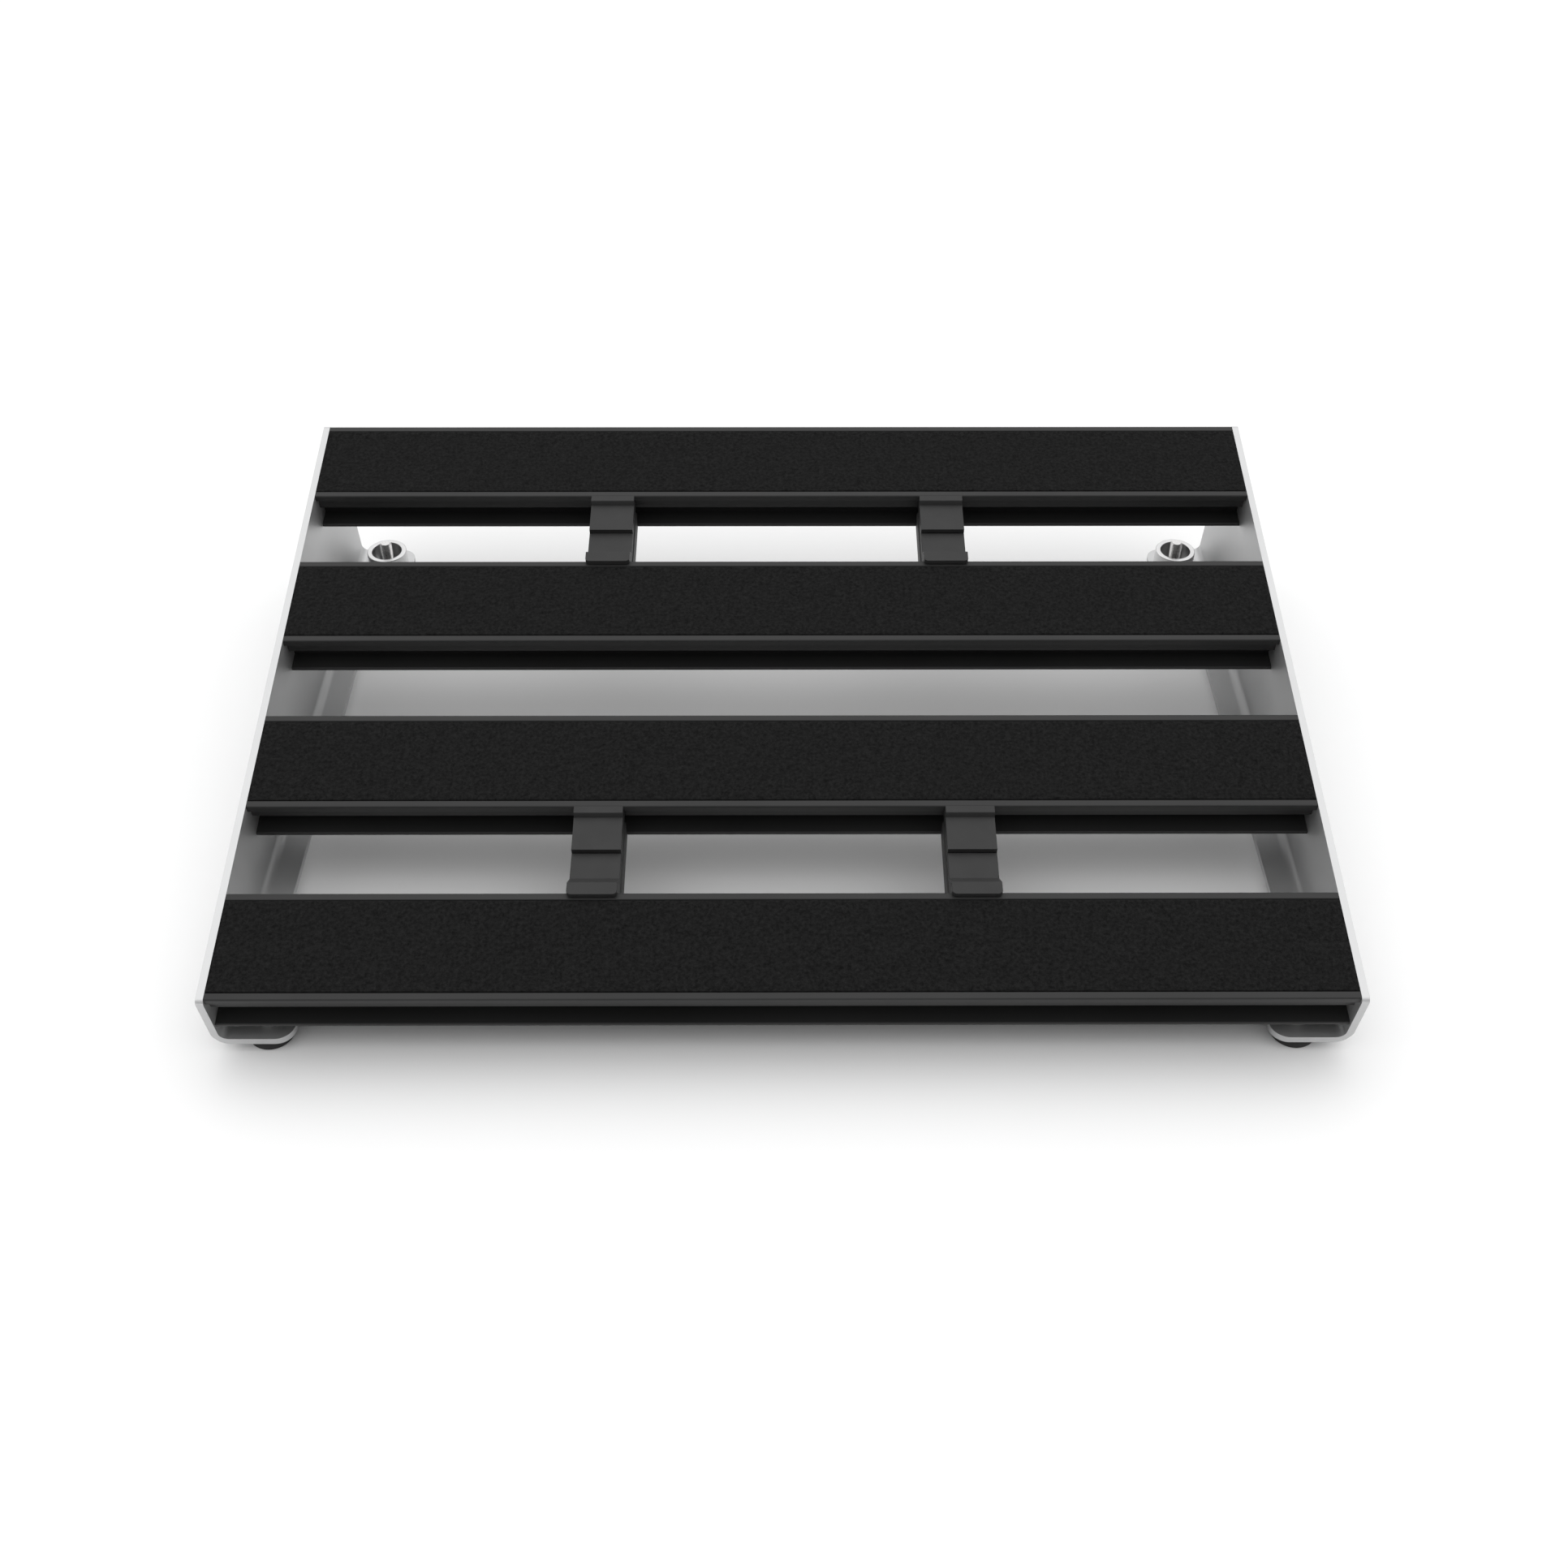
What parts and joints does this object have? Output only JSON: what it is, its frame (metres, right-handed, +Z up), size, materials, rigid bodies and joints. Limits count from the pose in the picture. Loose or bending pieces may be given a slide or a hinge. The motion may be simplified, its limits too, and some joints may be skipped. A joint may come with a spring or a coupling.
{
  "type": "pedalboard",
  "caption": "Wedge-shaped effects pedalboard with fleece-topped black rails between bent silver side plates, sliding clips and adjustable rear feet.",
  "frame": {"origin": "centre of the bounding box on the floor, under the feet", "axes": "+X along the rails, +Y from the low front edge to the high rear edge, +Z up"},
  "size_m": [0.6, 0.449, 0.1253],
  "materials": {
    "silver_aluminium": "fine satin, clear anodised sheet",
    "turned_aluminium": "turned, bright satin",
    "black_anodised": "black anodised extrusion, satin",
    "fleece": "brushed loop fleece, matte",
    "clip_plastic": "dark grey moulded, fine texture",
    "rubber": "matte",
    "zinc_steel": "zinc plated",
    "black_steel": "black oxide",
    "brass": "machined"
  },
  "bodies": {
    "root": {"side_plate_left": "silver_aluminium", "side_plate_right": "silver_aluminium", "rail_1": "black_anodised", "rail_2": "black_anodised", "rail_3": "black_anodised", "rail_4": "black_anodised", "fleece_1": "fleece", "fleece_2": "fleece", "fleece_3": "fleece", "fleece_4": "fleece", "rail_screws_left": "black_steel", "rail_screws_right": "black_steel", "front_foot_left_rubber": "rubber", "front_foot_left_washer": "zinc_steel", "front_foot_left_screw": "zinc_steel", "front_foot_left_nut": "zinc_steel", "front_foot_right_rubber": "rubber", "front_foot_right_washer": "zinc_steel", "front_foot_right_screw": "zinc_steel", "front_foot_right_nut": "zinc_steel", "rear_foot_left_cup": "turned_aluminium", "rear_foot_right_cup": "turned_aluminium"},
    "clip_front_left": {"clip_front_left_rear_hook": "clip_plastic", "clip_front_left_base": "clip_plastic", "clip_front_left_insert": "brass", "clip_front_left_screw": "zinc_steel", "clip_front_left_washer": "zinc_steel"},
    "clip_front_right": {"clip_front_right_rear_hook": "clip_plastic", "clip_front_right_base": "clip_plastic", "clip_front_right_insert": "brass", "clip_front_right_screw": "zinc_steel", "clip_front_right_washer": "zinc_steel"},
    "clip_rear_left": {"clip_rear_left_rear_hook": "clip_plastic", "clip_rear_left_base": "clip_plastic", "clip_rear_left_insert": "brass", "clip_rear_left_screw": "zinc_steel", "clip_rear_left_washer": "zinc_steel"},
    "clip_rear_right": {"clip_rear_right_rear_hook": "clip_plastic", "clip_rear_right_base": "clip_plastic", "clip_rear_right_insert": "brass", "clip_rear_right_screw": "zinc_steel", "clip_rear_right_washer": "zinc_steel"},
    "rear_foot_left_spindle": {"rear_foot_left_spindle": "zinc_steel"},
    "rear_foot_left_pad": {"rear_foot_left_disc": "zinc_steel", "rear_foot_left_pad": "rubber"},
    "rear_foot_right_spindle": {"rear_foot_right_spindle": "zinc_steel"},
    "rear_foot_right_pad": {"rear_foot_right_disc": "zinc_steel", "rear_foot_right_pad": "rubber"}
  },
  "joints": [
    {"name": "clip_front_left_slide", "type": "slide", "parent": "root", "child": "clip_front_left", "axis": [1, 0, 0], "range_m": [-0.179, 0.086]},
    {"name": "clip_front_right_slide", "type": "slide", "parent": "root", "child": "clip_front_right", "axis": [1, 0, 0], "range_m": [-0.088, 0.177]},
    {"name": "clip_rear_left_slide", "type": "slide", "parent": "root", "child": "clip_rear_left", "axis": [1, 0, 0], "range_m": [-0.173, 0.091]},
    {"name": "clip_rear_right_slide", "type": "slide", "parent": "root", "child": "clip_rear_right", "axis": [1, 0, 0], "range_m": [-0.085, 0.179]},
    {"name": "rear_foot_left_height", "type": "slide", "parent": "root", "child": "rear_foot_left_pad", "axis": [0, 0, -1], "range_m": [0, 0.012]},
    {"name": "rear_foot_left_turn", "type": "hinge", "parent": "rear_foot_left_pad", "child": "rear_foot_left_spindle", "pos_m": [-0.2735, 0.20233, 0.004], "axis": [0, 0, -1], "range_deg": [0, 3457]},
    {"name": "rear_foot_right_height", "type": "slide", "parent": "root", "child": "rear_foot_right_pad", "axis": [0, 0, -1], "range_m": [0, 0.012]},
    {"name": "rear_foot_right_turn", "type": "hinge", "parent": "rear_foot_right_pad", "child": "rear_foot_right_spindle", "pos_m": [0.2735, 0.20233, 0.004], "axis": [0, 0, -1], "range_deg": [0, 3457]}
  ],
  "couplings": [
    {"joint": "rear_foot_left_turn", "follows": "rear_foot_left_height", "rad_per_m": 5026.5},
    {"joint": "rear_foot_right_turn", "follows": "rear_foot_right_height", "rad_per_m": 5026.5}
  ]
}
